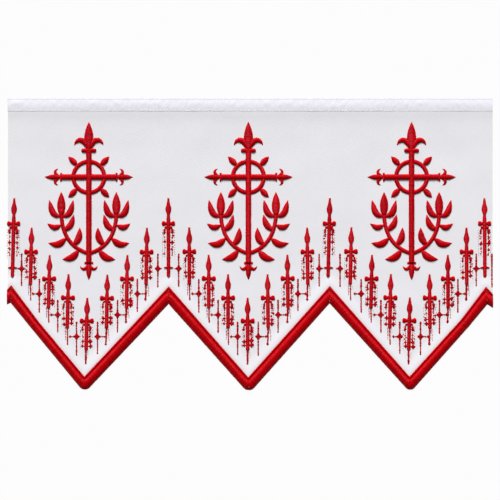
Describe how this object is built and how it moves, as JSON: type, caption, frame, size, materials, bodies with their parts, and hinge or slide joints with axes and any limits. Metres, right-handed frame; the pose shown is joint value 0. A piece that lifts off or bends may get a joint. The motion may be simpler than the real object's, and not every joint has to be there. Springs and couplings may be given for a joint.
{
  "type": "altar cloth",
  "caption": "White twill altar cloth edging with a turned heading, a pointed lower edge bound by a padded red border, and raised red embroidery.",
  "frame": {"origin": "middle of the outline, on the surface that the cloth lies on", "axes": "+X runs along the cloth, +Y up its face towards the heading, +Z out of its face"},
  "size_m": [0.4858, 0.2916, 0.0033],
  "materials": {
    "white_twill": "matte white cotton twill",
    "red_thread": "lustrous red satin-stitch thread"
  },
  "bodies": {
    "root": {"cloth_panel": "white_twill", "border_row": "red_thread", "border_roll": "red_thread"}
  },
  "joints": []
}
